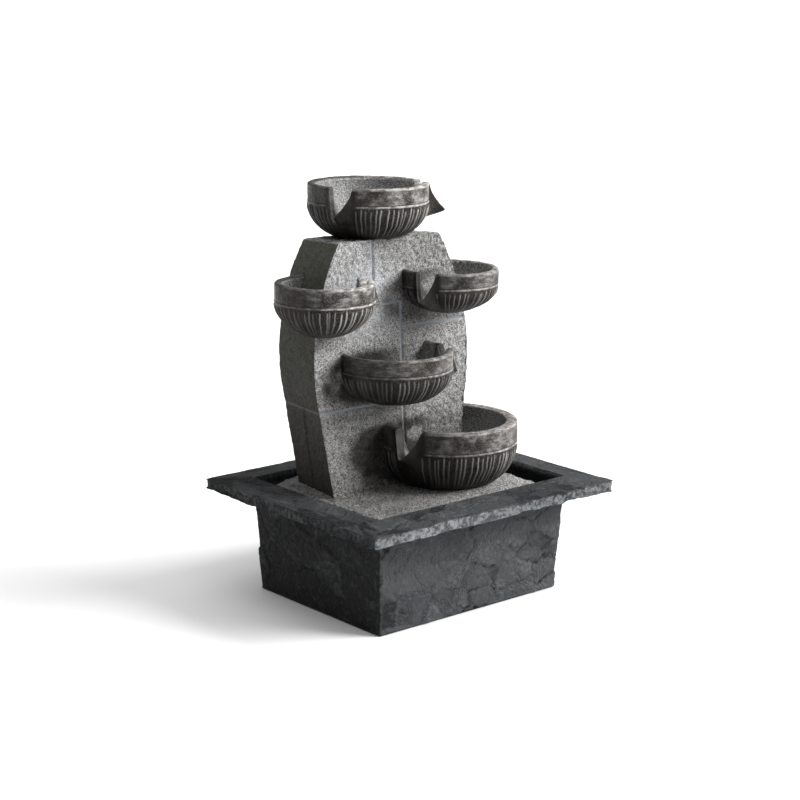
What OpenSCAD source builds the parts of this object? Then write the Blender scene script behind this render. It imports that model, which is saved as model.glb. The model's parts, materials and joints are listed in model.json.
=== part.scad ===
// Tabletop water fountain: a slate-look basin, a lift-out deck with a block-work tower,
// five spouted bowls fed in a cascade, and a small submersible pump under the deck.
// Millimetres. Origin on the table under the middle of the basin, +Z up,
// +X along the wide front of the basin, +Y towards the back.

/* [Basin] */
// Width of the basin's rim, left to right
rim_w = 300; // [294:1:306]
// Depth of the basin's rim, front to back
rim_d = 250; // [246:1:256]
// Height of the rim's outer top edge above the table
rim_h = 108; // [106:0.5:110]
// Thickness of the rim at its outer edge
rim_t = 9.6; // [7:0.2:12]
// How much the rim rises from its outer to its inner edge
rim_rise = 3.3; // [1:0.1:5]
// Width of the basin's body at the table
body_w = 225; // [220:1:230]
// Depth of the basin's body at the table
body_d = 178; // [174:1:182]
// How much each side wall leans out over the basin's height
side_lean = 5; // [4:0.5:7]
// How much the front and back walls lean out over the basin's height
front_lean = 4.5; // [3.5:0.5:6]
// Thickness of the basin's walls
basin_wall = 4.4; // [3.6:0.2:5]
// Thickness of the basin's floor
basin_floor = 5; // [4:0.5:5.5]

/* [Deck] */
// Thickness of the deck plate
deck_t = 8; // [6:0.5:9]
// Radius of the deck's four legs
leg_r = 7; // [5:0.5:9]

/* [Tower] */
// Distance of the tower's centre line from the basin's, to the left
tower_x = -24; // [-26:0.5:-22]
// Height of the tower's front top edge above the table
tower_top = 339; // [336:0.5:342]
// Radius of the arc that the upper part of each side follows
side_r = 201; // [196:1:208]
// Half width of the tower at its widest
tower_half_w = 93; // [91:0.5:95]
// Half width of the tower at its foot
tower_foot_w = 75; // [72:0.5:78]
// Angle at which the sides close in towards the back
plan_taper = 8; // [6:0.5:9]
// Depth of the tower
tower_d = 64; // [62:0.5:67]
// How far the tower leans back from foot to top
tower_lean = 14; // [12:0.5:16]
// Thickness of the tower's cast wall
tower_wall = 6; // [4.5:0.5:7]

/* [Bowls] */
// Outer radius of the top bowl
top_r = 56; // [53:0.5:58]
// Outer radius of the left bowl
left_r = 45; // [43:0.5:46]
// Outer radius of the right bowl
right_r = 47.5; // [46:0.5:49]
// Outer radius of the middle bowl
middle_r = 54.5; // [53:0.5:56]
// Outer radius of the bottom bowl
bottom_r = 66.5; // [65:0.5:68]
// Thickness of a bowl's rim
lip_t = 6.5; // [5.5:0.25:7.5]
// Thickness of the bottom bowl's rim
bottom_lip_t = 10.5; // [8:0.5:12]
// Width of a spout's V notch at the rim, as a share of its bowl's radius
notch_share = 0.4; // [0.35:0.01:0.45]
// Depth of a spout's V notch below the rim
notch_depth = 25; // [22:0.5:27]

/* [Pump] */
// Width of the pump's housing
pump_w = 42; // [41:0.5:46]
// Height of the pump's housing
pump_h = 40; // [39.5:0.5:42]
// Radius of the impeller's blades
impeller_r = 11; // [9:0.25:12]
// Radius of the ceramic shaft
shaft_r = 1.5; // [1.25:0.05:1.75]
// Outer radius of the riser tube
tube_r = 5.5; // [5.25:0.05:6]
// Bore radius of the riser tube
tube_bore_r = 4.05; // [3.9:0.01:4.2]
// Travel of the flow slider
slider_travel = 8; // [5:0.5:8]

/* [Hidden] */
$fn = 64;
SLACK = 0.05;          // running clearance, per side
EASE = 0.3;            // loose clearance, per side
CUT = 1;               // how far a cutting shape runs past the face it opens

// Basin
FOOT_PROUD = 1;        // how far the rubber feet lift the basin's underside
FOOT_R = 9;
FOOT_T = 3;
FOOT_IN = 20;          // feet set in from the body's corners
rim_under = rim_h - rim_t;
rim_crest = rim_h + rim_rise;
floor_z = FOOT_PROUD + basin_floor;
CREST_OUT = [4, 1];    // how far the rim's crest is set back from the opening, at side and front
CREST_FLAT = 0.5;      // width of the flat along the crest
GROMMET_X = -62;       // where the pump's lead leaves through the back wall
GROMMET_DROP = 14;     // below the rim's underside
GROMMET_R = 5.5;
GROMMET_BORE_R = 3.2;
GROMMET_FLANGE_R = 8;
GROMMET_FLANGE_T = 1.5;

// Deck
deck_top = rim_h;
deck_under = deck_top - deck_t;
DECK_EASE = 0.8;       // gap between the deck and the basin's walls
deck_left = -body_at(deck_under, basin_wall).x / 2 + DECK_EASE;
deck_front = -body_at(deck_under, basin_wall).y / 2 + DECK_EASE;
DECK_RIGHT = 88;
DECK_BACK = 70;
LEG_SPOTS = [[-98, -70], [72, -70], [-92, 44], [46, 46]];

// Tower
tower_front = -10;     // front face at the deck
tower_mid_z = 230;     // height at which the sides are widest
flank_z = 187;         // height below which the sides run straight to the foot
TOP_FALL = 4;          // how much the tower's top falls towards the back
HATCH = [80, 40];      // opening in the deck under the tower

// Bowls: [centre x, centre y, rim height], depth, foot radius and spouts
top_at = [tower_x, 36, 388];
left_at = [-103, 1.5, 308];
right_at = [35, -10, 309.5];
middle_at = [-33, -13, 240];
bottom_at = [26, -22, 168.5];
LEFT_DEPTH = 50;
RIGHT_DEPTH = 42.5;
MIDDLE_DEPTH = 47;
TOP_FOOT_R = 31;
BOTTOM_FOOT_R = 40;
MIDDLE_FOOT_R = 25;
SIDE_FOOT_R = 8;       // flat underneath the left and right bowls
BOWL_FLOOR_T = 8;
BAND_SHARE = 0.32;     // share of a bowl's depth taken by its plain band
CURVE_STEPS = 8;       // straight steps along a bowl's curved side
SIDE_FULLNESS = 1.4;   // how slowly a bowl's side swells out above its foot
// Each spout's direction and how far its beak stands out past the rim
TOP_SPOUTS = [[203, 13], [-20, 21]];
LEFT_SPOUTS = [[-14, 12]];
RIGHT_SPOUTS = [[202.5, 13]];
MIDDLE_SPOUTS = [[-20, 11]];
BOTTOM_SPOUTS = [[195, 13]];

// Pump
CUP_H = 4;             // height of the suction cups
CUP_R = 6.5;
AXIS_OVER = 21.5;        // impeller axis above the pump's underside
NOZZLE_OFF = 9;        // outlet nozzle to the right of the impeller axis
NOZZLE_UP = 14;        // length of the outlet nozzle
CASE_WALL = 2;
CHAMBER_R = 13;
WELL_R = 8;            // bore of the rotor's well
WELL_WALL = 1.2;
MAGNET_R = 6.8;
nozzle_r = tube_bore_r - SLACK;
nozzle_bore_r = nozzle_r - 1.2;
pump_under = floor_z + CUP_H;
axis_x = top_at.x - NOZZLE_OFF;
axis_z = pump_under + AXIS_OVER;
case_mid_z = pump_under + pump_h / 2;
// Stations along the pump's axis, front to back
SLIDER_Y = 6;
GRILLE_Y = 8;
COLLAR_Y = 24;
INTAKE_Y = 28;
CHAMBER_Y = 30;
SKIRT_Y = 29;
CASE_Y = 40;
MAGNET_Y = 43;
STATOR_Y = 46;
STATOR_END_Y = 58;
MAGNET_END_Y = 59;
BUSH_Y = 60;
WELL_END_Y = 62.5;
CASE_END_Y = 70;
GLAND_END_Y = 79;
tube_foot = pump_under + pump_h + 2;
tube_head = top_at.z - 38;

// ---------- shared shapes ----------

// Block whose four walls lean out evenly, from size a at z0 to size b at z1
module leaning_block(a, b, z0, z1) {
    intersection() {
        translate([0, (a.y + b.y) / 2, 0]) rotate([90, 0, 0])
            linear_extrude(a.y + b.y)
                polygon([[-a.x / 2, z0], [a.x / 2, z0], [b.x / 2, z1], [-b.x / 2, z1]]);
        translate([-(a.x + b.x) / 2, 0, 0]) rotate([90, 0, 90])
            linear_extrude(a.x + b.x)
                polygon([[-a.y / 2, z0], [a.y / 2, z0], [b.y / 2, z1], [-b.y / 2, z1]]);
    }
}

// Cylinder lying along +Y from y0 to y1, on the impeller's axis
module along_axis(r, y0, y1) {
    translate([axis_x, y0, axis_z]) rotate([-90, 0, 0]) cylinder(r = r, h = y1 - y0);
}

// Rectangular block centred on the pump's axis in X, from y0 to y1 and z0 to z1
module pump_block(w, y0, y1, z0, z1) {
    translate([axis_x - w / 2, y0, z0]) cube([w, y1 - y0, z1 - z0]);
}

// ---------- basin ----------

// Size of the basin's body at height z, less an even inset
function body_at(z, inset) =
    let (share = (z - FOOT_PROUD) / (rim_under - FOOT_PROUD))
    [body_w + 2 * side_lean * share - 2 * inset, body_d + 2 * front_lean * share - 2 * inset];

module foot_spots() {
    for (sx = [-1, 1], sy = [-1, 1])
        translate([sx * (body_w / 2 - FOOT_IN), sy * (body_d / 2 - FOOT_IN), 0]) children();
}

// Places its children on the back wall's outer face, +Z pointing out
module at_back_wall() {
    z = rim_under - GROMMET_DROP;
    lean = atan(front_lean / (rim_under - FOOT_PROUD));
    translate([GROMMET_X, body_at(z, 0).y / 2, z]) rotate([-90 - lean, 0, 0]) children();
}

// Flat slab of the rim, its top rising from the outer edge to a crest near the opening
module rim_slab() {
    crest = body_at(deck_top, basin_wall) / 2 + CREST_OUT;
    intersection() {
        translate([0, rim_d / 2, 0]) rotate([90, 0, 0]) linear_extrude(rim_d)
            polygon([[-rim_w / 2, rim_under], [rim_w / 2, rim_under], [rim_w / 2, rim_h],
                     [crest.x, rim_crest], [-crest.x, rim_crest], [-rim_w / 2, rim_h]]);
        translate([-rim_w / 2, 0, 0]) rotate([90, 0, 90]) linear_extrude(rim_w)
            polygon([[-rim_d / 2, rim_under], [rim_d / 2, rim_under], [rim_d / 2, rim_h],
                     [crest.y, rim_crest], [-crest.y, rim_crest], [-rim_d / 2, rim_h]]);
    }
}

// Slope from the rim's crest down to the deck
module rim_bevel() {
    foot = body_at(deck_top, basin_wall);
    out = CREST_OUT - [CREST_FLAT, CREST_FLAT];
    leaning_block(foot, foot + 2 * out * (rim_rise + CUT) / rim_rise, deck_top, rim_crest + CUT);
}

module basin() {
    color("#3d4043") difference() {
        union() {
            leaning_block(body_at(FOOT_PROUD, 0), body_at(rim_under, 0), FOOT_PROUD, rim_under);
            rim_slab();
        }
        leaning_block(body_at(floor_z, basin_wall), body_at(rim_crest + CUT, basin_wall),
                      floor_z, rim_crest + CUT);
        rim_bevel();
        foot_spots() cylinder(r = FOOT_R, h = FOOT_T);
        at_back_wall() translate([0, 0, -3 * basin_wall])
            cylinder(r = GROMMET_R, h = 6 * basin_wall);
    }
}

module rubber_feet() {
    color("#1c1c1c") foot_spots() cylinder(r = FOOT_R, h = FOOT_T);
}

module cable_grommet() {
    inner_z = -basin_wall;
    color("#161616") at_back_wall() rotate_extrude()
        polygon([[GROMMET_BORE_R, inner_z - GROMMET_FLANGE_T],
                 [GROMMET_FLANGE_R, inner_z - GROMMET_FLANGE_T],
                 [GROMMET_FLANGE_R, inner_z], [GROMMET_R, inner_z], [GROMMET_R, 0],
                 [GROMMET_FLANGE_R, 0], [GROMMET_FLANGE_R, GROMMET_FLANGE_T],
                 [GROMMET_BORE_R, GROMMET_FLANGE_T]]);
}

// ---------- deck and tower ----------

// The deck leaves a strip open along the right of the basin and another along the back
module deck_plate() {
    color("#8b8b8c") {
        difference() {
            translate([0, 0, deck_under]) linear_extrude(deck_t)
                polygon([[deck_left, deck_front], [DECK_RIGHT - 3, deck_front], [DECK_RIGHT, -30],
                         [DECK_RIGHT - 14, 34], [DECK_RIGHT - 30, DECK_BACK], [-76, DECK_BACK],
                         [deck_left, DECK_BACK - 6]]);
            translate([tower_x - HATCH.x / 2, top_at.y - HATCH.y / 2 - 2, deck_under - CUT])
                cube([HATCH.x, HATCH.y, deck_t + 2 * CUT]);
        }
        for (spot = LEG_SPOTS)
            translate([spot.x, spot.y, floor_z]) cylinder(r = leg_r, h = deck_under - floor_z);
    }
}

// Outline of one side of the tower, as width outwards (X) by height (Y): an arc above
// flank_z and a straight flank below it that runs on inside the arc, drawn in by an even inset
module side_outline(inset) {
    reach = side_r - inset;
    drop = tower_mid_z - flank_z;
    foot_w = tower_foot_w - inset;
    flank_w = tower_half_w - side_r + sqrt(reach * reach - drop * drop);
    run_on = 1.2;
    translate([tower_half_w - side_r, tower_mid_z]) circle(r = reach, $fn = 180);
    polygon([[-150, deck_top], [foot_w, deck_top],
             [foot_w + run_on * (flank_w - foot_w), deck_top + run_on * (flank_z - deck_top)],
             [-150, tower_mid_z]]);
}

// Solid form of the tower, drawn in by an even inset: two bulging sides that close in
// towards the back, between a front and a back that lean back together
module tower_form(inset) {
    rise = tower_top - deck_top;
    run = tower_lean / rise;
    front = tower_front + inset;
    back = tower_front + tower_d - inset;
    intersection() {
        intersection_for (flip = [0, 1])
            translate([tower_x, 0, 0]) mirror([flip, 0, 0]) rotate([0, 0, plan_taper])
                translate([0, 150, 0]) rotate([90, 0, 0])
                    linear_extrude(300) side_outline(inset);
        translate([tower_x - 120, 0, 0]) rotate([90, 0, 90]) linear_extrude(240)
            polygon([[front, deck_top], [back, deck_top],
                     [back + run * rise, tower_top - TOP_FALL - inset],
                     [front + run * rise, tower_top - inset]]);
    }
}

module tower_shell() {
    color("#8d8d8f") difference() {
        tower_form(0);
        tower_form(tower_wall);
        translate([top_at.x, top_at.y, tower_top / 2]) cylinder(r = tube_r + EASE, h = tower_top);
    }
}

// ---------- bowls ----------

// Outside of a bowl, from the foot's edge up its curved side to the plain band's foot
function bowl_side(r, depth, foot_r) =
    let (band = depth * BAND_SHARE)
    [for (i = [0:CURVE_STEPS])
        let (turn = 90 * i / CURVE_STEPS)
        [foot_r + (r - foot_r) * pow(sin(turn), SIDE_FULLNESS), -depth + (depth - band) * (1 - cos(turn))]];

// Inside of a bowl of that inner radius, from the middle of its floor to the rim
function bowl_hollow(inner_r, depth) =
    let (inner_depth = depth - BOWL_FLOOR_T)
    [for (i = [0:CURVE_STEPS])
        let (turn = 90 * i / CURVE_STEPS)
        [inner_r * sin(turn), -inner_depth * cos(turn)]];

// V-shaped beak that stands out under a notch by out, pointing along +X
module beak(r, out) {
    tip = r + out;
    underside = -notch_depth - 4;
    half_w = notch_share * r / 2 + 4;
    intersection() {
        translate([0, half_w, 0]) rotate([90, 0, 0]) linear_extrude(2 * half_w)
            polygon([[r - 9, 0], [r - 1.5, 0], [tip, 4 - notch_depth], [tip - 1, underside + 2],
                     [r - 9, underside]]);
        rotate([90, 0, 90]) linear_extrude(tip)
            polygon([[-half_w, 0], [half_w, 0], [4, underside], [-4, underside]]);
    }
}

module notch(r) {
    half_w = notch_share * r / 2 + 1;
    translate([r / 2, 0, 0]) rotate([90, 0, 90]) linear_extrude(r)
        polygon([[-half_w, 2], [half_w, 2], [0, -notch_depth]]);
}

// Round bowl hanging from its rim's centre, with a notch and a beak for each of its spouts
module bowl(r, depth, foot_r, lip, spouts) {
    lip_round = 1.5;
    difference() {
        union() {
            rotate_extrude()
                polygon(concat([[0, -depth]], bowl_side(r, depth, foot_r),
                               [[r, -lip_round], [r - lip_round, 0], [0, 0]]));
            for (spout = spouts) rotate(spout[0]) beak(r, spout[1]);
        }
        rotate_extrude() polygon(concat(bowl_hollow(r - lip, depth), [[r - lip, CUT], [0, CUT]]));
        for (spout = spouts) rotate(spout[0]) notch(r);
    }
}

module bowl_top() {
    depth = top_at.z - tower_top;
    color("#38332f") difference() {
        union() {
            translate(top_at) bowl(top_r, depth, TOP_FOOT_R, lip_t, TOP_SPOUTS);
            translate([top_at.x, top_at.y, tower_top - TOP_FALL - CUT])
                cylinder(r = TOP_FOOT_R, h = TOP_FALL + 2 * CUT);
        }
        tower_form(0);
        translate([top_at.x, top_at.y, tower_top - TOP_FALL - CUT])
            cylinder(r = tube_r + EASE, h = TOP_FALL + BOWL_FLOOR_T + 3 * CUT);
    }
}

// A bowl bonded to the tower, cut where the tower passes through it
module bonded_bowl(at, r, depth, foot_r, lip, spouts) {
    color("#38332f") difference() {
        translate(at) bowl(r, depth, foot_r, lip, spouts);
        tower_form(0);
    }
}

module bowl_left() {
    bonded_bowl(left_at, left_r, LEFT_DEPTH, SIDE_FOOT_R, lip_t, LEFT_SPOUTS);
}

module bowl_right() {
    bonded_bowl(right_at, right_r, RIGHT_DEPTH, SIDE_FOOT_R, lip_t, RIGHT_SPOUTS);
}

module bowl_middle() {
    bonded_bowl(middle_at, middle_r, MIDDLE_DEPTH, MIDDLE_FOOT_R, lip_t, MIDDLE_SPOUTS);
}

module bowl_bottom() {
    bonded_bowl(bottom_at, bottom_r, bottom_at.z - deck_top, BOTTOM_FOOT_R, bottom_lip_t,
                BOTTOM_SPOUTS);
}

// ---------- water path ----------

module riser_tube() {
    color("#c9d2d2") translate([top_at.x, top_at.y, tube_foot]) difference() {
        cylinder(r = tube_r, h = tube_head - tube_foot);
        translate([0, 0, -CUT]) cylinder(r = tube_bore_r, h = tube_head - tube_foot + 2 * CUT);
    }
}

// Flanged bush that ends the tube in the top bowl's floor
module outlet_fitting() {
    collar_z = tube_head;
    color("#2b2b2b") translate([top_at.x, top_at.y, 0]) rotate_extrude()
        polygon([[tube_bore_r - 0.9, collar_z - 10], [tube_bore_r, collar_z - 10],
                 [tube_bore_r, collar_z], [tube_r + 3, collar_z], [tube_r + 3, collar_z + 3],
                 [tube_bore_r - 0.9, collar_z + 3]]);
}

// ---------- pump ----------

module pump_housing() {
    color("#202123") {
        difference() {
            pump_block(pump_w, CASE_Y, CASE_END_Y, pump_under, pump_under + pump_h);
            pump_block(pump_w - 2 * CASE_WALL, CASE_Y + CASE_WALL, CASE_END_Y + CUT,
                       pump_under + CASE_WALL, pump_under + pump_h - CASE_WALL);
            along_axis(WELL_R, CASE_Y - CUT, CASE_Y + CASE_WALL + CUT);
        }
        difference() {
            along_axis(WELL_R + WELL_WALL, CASE_Y, WELL_END_Y + WELL_WALL);
            along_axis(WELL_R, CASE_Y - CUT, WELL_END_Y);
        }
    }
}

module pump_end_cap() {
    color("#2a2b2d") difference() {
        pump_block(pump_w - 2 * CASE_WALL, CASE_END_Y - 3, CASE_END_Y,
                   pump_under + CASE_WALL, pump_under + pump_h - CASE_WALL);
        along_axis(2.2, CASE_END_Y - 3 - CUT, CASE_END_Y + CUT);
    }
}

module pump_cable_gland() {
    color("#141414") difference() {
        union() {
            along_axis(5, CASE_END_Y, CASE_END_Y + 2);
            along_axis(3.6, CASE_END_Y + 2, GLAND_END_Y);
        }
        along_axis(2.2, CASE_END_Y - CUT, GLAND_END_Y + CUT);
    }
}

// Laminated U core: a yoke under the rotor's well and a pole on each side of it
module stator_core() {
    pole_in = WELL_R + WELL_WALL + EASE;
    pole_out = pole_in + 5.5;
    yoke_z = pump_under + 4;
    color("#7c7f84") {
        pump_block(2 * pole_out, STATOR_Y, STATOR_END_Y, yoke_z, yoke_z + 6);
        for (side = [-1, 1])
            translate([axis_x + side * (pole_in + pole_out) / 2 - (pole_out - pole_in) / 2,
                       STATOR_Y, yoke_z + 6])
                cube([pole_out - pole_in, STATOR_END_Y - STATOR_Y, axis_z + 7 - yoke_z - 6]);
    }
}

module stator_coil() {
    yoke_z = pump_under + 4;
    color("#a4602c") difference() {
        pump_block(16, STATOR_Y - 1.6, STATOR_END_Y + 1.6, yoke_z - 1.6, yoke_z + 7.6);
        pump_block(18, STATOR_Y, STATOR_END_Y, yoke_z, yoke_z + 6);
    }
}

// Front of the pump: pumping chamber, intake with its bearing spider, and outlet nozzle
module volute_cover() {
    collar_w = pump_w - 2;
    z0 = pump_under + 1;
    z1 = pump_under + pump_h - 1;
    nozzle_x = axis_x + NOZZLE_OFF;
    nozzle_y = top_at.y;
    color("#232426") {
        difference() {
            union() {
                pump_block(collar_w, COLLAR_Y, CASE_Y, z0, z1);
                translate([nozzle_x, nozzle_y, z1 - CUT]) cylinder(r = nozzle_r, h = NOZZLE_UP + CUT);
            }
            pump_block(collar_w - 6, COLLAR_Y - CUT, INTAKE_Y, z0 + 3, z1 - 3);
            along_axis(9, INTAKE_Y - CUT, CHAMBER_Y + CUT);
            along_axis(CHAMBER_R, CHAMBER_Y, CASE_Y + CUT);
            translate([nozzle_x, nozzle_y, axis_z])
                cylinder(r = nozzle_bore_r, h = z1 + NOZZLE_UP + CUT - axis_z);
            difference() {
                along_axis(CHAMBER_R + 2.9, CASE_Y - 1.5, CASE_Y + CUT);
                along_axis(CHAMBER_R + 1.1, CASE_Y - 1.5, CASE_Y + CUT);
            }
        }
        difference() {
            union() {
                along_axis(4, INTAKE_Y, CHAMBER_Y + 0.5);
                for (turn = [90, 210, 330])
                    translate([axis_x, INTAKE_Y, axis_z]) rotate([0, turn, 0])
                        translate([3, 0, -0.75]) cube([6.5, CHAMBER_Y - INTAKE_Y, 1.5]);
            }
            along_axis(2.5, INTAKE_Y - CUT, CHAMBER_Y + 1);
        }
    }
}

module volute_seal() {
    ring_r = 0.75;
    color("#101010") translate([axis_x, CASE_Y - ring_r, axis_z]) rotate([-90, 0, 0])
        rotate_extrude() translate([CHAMBER_R + 2, 0]) circle(r = ring_r, $fn = 24);
}

module impeller_shaft() {
    color("#e8e6e0") along_axis(shaft_r, INTAKE_Y + 0.5, WELL_END_Y - 0.5);
}

module shaft_bush(outer_r, y0, y1) {
    color("#57514a") difference() {
        along_axis(outer_r, y0, y1);
        along_axis(shaft_r, y0 - CUT, y1 + CUT);
    }
}

module shaft_bush_front() { shaft_bush(2.5, INTAKE_Y, CHAMBER_Y + 0.5); }
module shaft_bush_rear() { shaft_bush(WELL_R, BUSH_Y, WELL_END_Y); }

module suction_cups() {
    color("#3a3d3f") for (sx = [-1, 1], y = [CASE_Y + 6, CASE_END_Y - 7])
        translate([axis_x + sx * (pump_w / 2 - 8), y, floor_z]) {
            cylinder(r = CUP_R, h = 1.5);
            cylinder(r = CUP_R / 2, h = CUP_H);
        }
}

module rotor_magnet() {
    color("#4a4a4e") difference() {
        along_axis(MAGNET_R, MAGNET_Y, MAGNET_END_Y);
        along_axis(shaft_r + SLACK, MAGNET_Y - CUT, MAGNET_END_Y + CUT);
    }
}

module impeller() {
    hub_r = 4;
    blade_y = CHAMBER_Y + 1.5;
    color("#d9d9d4") difference() {
        union() {
            along_axis(hub_r, CHAMBER_Y + 1.2, MAGNET_Y);
            for (turn = [0:90:270])
                translate([axis_x, blade_y, axis_z]) rotate([0, turn, 0])
                    translate([hub_r - 1, 0, -0.75]) cube([impeller_r - hub_r + 1, 6, 1.5]);
        }
        along_axis(shaft_r + SLACK, CHAMBER_Y, MAGNET_Y + CUT);
    }
}

// Slotted cover that pulls off the front of the pump, with rails for the flow slider
module intake_grille() {
    half_w = pump_w / 2 - 1 + EASE;
    z0 = pump_under + 1 - EASE;
    z1 = pump_under + pump_h - 1 + EASE;
    skin = 1.5;
    color("#1f2022") {
        difference() {
            pump_block(2 * (half_w + skin), GRILLE_Y, SKIRT_Y, z0 - skin, z1 + skin);
            pump_block(2 * half_w, GRILLE_Y + skin, SKIRT_Y + CUT, z0, z1);
            for (i = [-3:3])
                translate([i * 5, 0, 0])
                    pump_block(2.2, GRILLE_Y - CUT, GRILLE_Y + skin + CUT,
                               case_mid_z - 14, case_mid_z + 14);
        }
        for (side = [-1, 1])
            pump_block(2 * half_w, SLIDER_Y, GRILLE_Y, case_mid_z + side * 8 - 1,
                       case_mid_z + side * 8 + 1);
    }
}

module filter_sponge() {
    half_w = pump_w / 2 - 2;
    color("#30343a")
        pump_block(2 * half_w, GRILLE_Y + 1.5, COLLAR_Y - EASE, pump_under + 2,
                   pump_under + pump_h - 2);
}

// Plate that covers part of the intake slots to throttle the pump
module flow_slider() {
    half_h = 7 - EASE;
    color("#3b3d40") translate([-slider_travel / 2, 0, 0]) {
        pump_block(18, SLIDER_Y, GRILLE_Y - 0.2, case_mid_z - half_h, case_mid_z + half_h);
        pump_block(3, SLIDER_Y - 2, SLIDER_Y, case_mid_z - 5, case_mid_z + 5);
    }
}

basin();
rubber_feet();
cable_grommet();
deck_plate();
tower_shell();
bowl_top();
bowl_left();
bowl_right();
bowl_middle();
bowl_bottom();
riser_tube();
outlet_fitting();
pump_housing();
pump_end_cap();
pump_cable_gland();
stator_core();
stator_coil();
volute_cover();
volute_seal();
impeller_shaft();
shaft_bush_front();
shaft_bush_rear();
suction_cups();
rotor_magnet();
impeller();
intake_grille();
filter_sponge();
flow_slider();
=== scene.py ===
"""Tabletop water fountain: cast slate-look basin, granite-look deck and tower, five spouted bowls.

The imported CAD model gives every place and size. The castings are rebuilt here with their stone
surfaces, and the pump, tube and rubber parts keep their CAD shapes and get materials.
Lengths are metres; MM turns millimetres into metres.
"""

import json
import math

import bpy
import numpy as np
from mathutils import Matrix, Vector


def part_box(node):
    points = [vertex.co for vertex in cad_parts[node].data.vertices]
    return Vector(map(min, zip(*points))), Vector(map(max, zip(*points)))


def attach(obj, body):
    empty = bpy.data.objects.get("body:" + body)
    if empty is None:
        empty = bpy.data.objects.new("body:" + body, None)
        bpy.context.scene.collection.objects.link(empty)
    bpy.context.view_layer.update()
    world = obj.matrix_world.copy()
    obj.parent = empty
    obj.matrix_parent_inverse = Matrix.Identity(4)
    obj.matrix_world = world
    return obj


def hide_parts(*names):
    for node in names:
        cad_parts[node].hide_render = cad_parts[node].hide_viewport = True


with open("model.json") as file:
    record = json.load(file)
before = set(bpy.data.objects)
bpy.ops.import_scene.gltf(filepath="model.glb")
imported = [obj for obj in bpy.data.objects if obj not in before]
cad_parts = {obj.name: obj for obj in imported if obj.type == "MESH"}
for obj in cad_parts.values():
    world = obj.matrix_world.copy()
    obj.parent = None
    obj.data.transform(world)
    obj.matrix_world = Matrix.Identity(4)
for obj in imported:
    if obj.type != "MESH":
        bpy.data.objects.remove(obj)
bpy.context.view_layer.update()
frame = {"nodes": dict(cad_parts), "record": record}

MM = 0.001
ROOT = "basin_assembly"
LIFTED = "tower_assembly"


# ---------- noise ----------

def lattice_value(cell, seed):
    """A repeatable number from 0 to 1 for each whole-numbered cell."""
    mixed = np.full(cell.shape[:-1], (seed * 2654435769) & 0xFFFFFFFF, np.uint32)
    for axis, prime in zip(range(cell.shape[-1]), (2246822507, 3266489909, 668265263)):
        mixed ^= cell[..., axis].astype(np.int64).astype(np.uint32) * np.uint32(prime)
        mixed ^= mixed >> np.uint32(15)
        mixed *= np.uint32(739982445)
        mixed ^= mixed >> np.uint32(12)
    return mixed / 4294967296.0


def value_noise(points, seed):
    """Smooth noise from -1 to 1 with features one unit wide."""
    base = np.floor(points)
    part = points - base
    part = part * part * (3 - 2 * part)
    total = np.zeros(points.shape[:-1])
    for corner in np.ndindex(*(2,) * points.shape[-1]):
        weight = np.prod(np.where(np.array(corner) == 1, part, 1 - part), axis=-1)
        total += weight * lattice_value(base + np.array(corner), seed)
    return 2 * total - 1


def fractal(points, size, octaves, seed, gain=0.5):
    """Layered noise from about -1 to 1, its broadest features size wide."""
    total, share, reach = 0, 1, 0
    scaled = points / size
    for octave in range(octaves):
        total = total + share * value_noise(scaled, seed + octave)
        reach += share
        share *= gain
        scaled = scaled * 2.03 + 7.7
    return total / reach


def cells(points, size, seed):
    """Distance to the nearest of scattered points, in cells of that size."""
    scaled = points / size
    base = np.floor(scaled)
    nearest = np.full(points.shape[:-1], 9.0)
    dims = points.shape[-1]
    for offset in np.ndindex(*(3,) * dims):
        cell = base + np.array(offset) - 1
        spot = cell + np.stack([lattice_value(cell, seed + axis) for axis in range(dims)], -1)
        away = np.linalg.norm(scaled - spot, axis=-1)
        nearest = np.minimum(nearest, away)
    return nearest


def flakes(flat, size, seed):
    """Split stone: height from 0 to 1 of leaning flakes of about that size, and creases between them."""
    scaled = flat / size
    base = np.floor(scaled)
    nearest = np.full(flat.shape[:-1], 9.0)
    second = nearest.copy()
    height = np.zeros(flat.shape[:-1])
    for offset in np.ndindex(3, 3):
        cell = base + np.array(offset) - 1
        spot = cell + np.stack([lattice_value(cell, seed + axis) for axis in range(2)], -1)
        lean = np.stack([lattice_value(cell, seed + 2 + axis) - 0.5 for axis in range(2)], -1)
        away = np.linalg.norm(scaled - spot, axis=-1)
        tall = lattice_value(cell, seed + 4) + 0.9 * ((scaled - spot) * lean).sum(-1)
        height = np.where(away < nearest, tall, height)
        second = np.minimum(second, np.maximum(nearest, away))
        nearest = np.minimum(nearest, away)
    return np.clip(height, 0, 1), 1 - smooth(0.03, 0.14, second - nearest)


def smooth(edge0, edge1, value):
    """0 below edge0, 1 above edge1 and smooth between."""
    share = np.clip((value - edge0) / (edge1 - edge0), 0, 1)
    return share * share * (3 - 2 * share)


def groove(away, half_width):
    """Depth of a rounded groove, 1 at its middle."""
    return 1 - smooth(half_width * 0.35, half_width, np.abs(away))


# ---------- meshes ----------

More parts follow.
